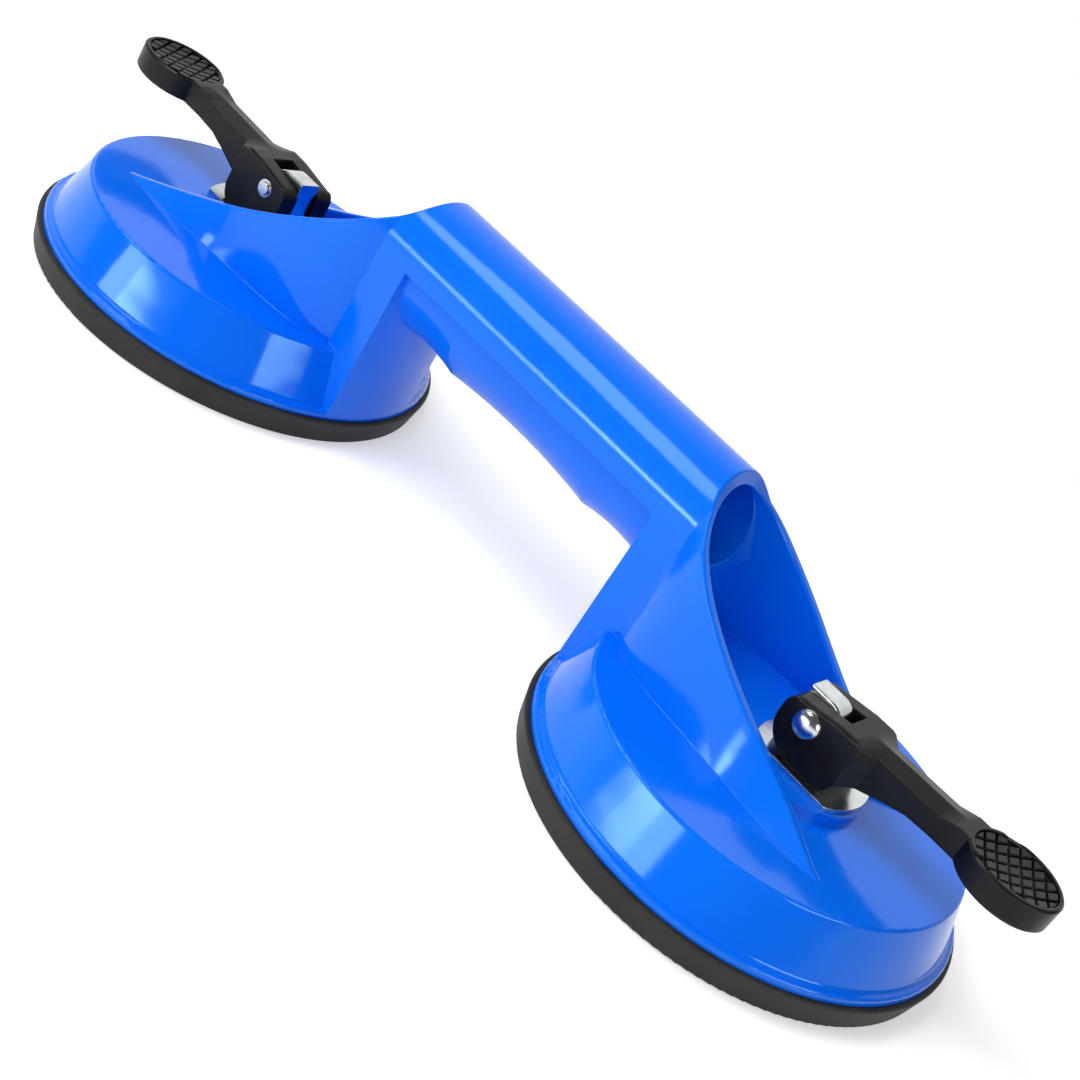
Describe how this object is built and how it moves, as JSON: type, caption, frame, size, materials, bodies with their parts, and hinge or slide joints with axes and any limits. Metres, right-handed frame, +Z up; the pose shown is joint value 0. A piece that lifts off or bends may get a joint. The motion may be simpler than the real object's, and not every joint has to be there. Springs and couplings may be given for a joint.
{
  "type": "suction_lifter",
  "caption": "Blue plastic suction lifter: round rubber cups under one moulded housing with a grip bar between them and a black clamping lever on each cup",
  "frame": {"origin": "centre of the bounding box at its bottom, on the plane that the pads stand on", "axes": "+X runs along the grip bar towards the right cup, +Y across the bar to the back, +Z up from the suction faces"},
  "size_m": [0.3434, 0.1196, 0.0723],
  "materials": {
    "blue_plastic": "glossy moulded blue plastic",
    "black_rubber": "matte black rubber",
    "zinc_steel": "zinc plated steel",
    "bright_steel": "bright plated steel",
    "spring_steel": "spring steel wire",
    "black_plastic": "satin black plastic"
  },
  "bodies": {
    "housing": {"housing_and_handle": "blue_plastic", "right_pad": "black_rubber", "left_pad": "black_rubber", "right_wear_plate": "bright_steel", "left_wear_plate": "bright_steel", "right_spring": "spring_steel", "left_spring": "spring_steel"},
    "right_lug": {"right_core_disc": "zinc_steel", "right_pull_lug": "bright_steel"},
    "left_lug": {"left_core_disc": "zinc_steel", "left_pull_lug": "bright_steel"},
    "right_lever": {"right_lever": "black_plastic", "right_rivet_pin": "bright_steel"},
    "left_lever": {"left_lever": "black_plastic", "left_rivet_pin": "bright_steel"}
  },
  "joints": [
    {"name": "right_pull", "type": "slide", "parent": "housing", "child": "right_lug", "axis": [0, 0, 1], "range_m": [-0.0034, 0], "deforming": ["right_pad", "right_spring"]},
    {"name": "left_pull", "type": "slide", "parent": "housing", "child": "left_lug", "axis": [0, 0, 1], "range_m": [-0.0034, 0], "deforming": ["left_pad", "left_spring"]},
    {"name": "right_lever_hinge", "type": "hinge", "parent": "right_lug", "child": "right_lever", "pos_m": [0.1048, 0, 0.04035], "axis": [0, -1, 0], "range_deg": [0, 90]},
    {"name": "left_lever_hinge", "type": "hinge", "parent": "left_lug", "child": "left_lever", "pos_m": [-0.1048, 0, 0.04035], "axis": [0, 1, 0], "range_deg": [0, 90]}
  ],
  "couplings": [
    {"joint": "right_lever_hinge", "follows": "right_pull", "rad_per_m": -461.99},
    {"joint": "left_lever_hinge", "follows": "left_pull", "rad_per_m": -461.99}
  ]
}
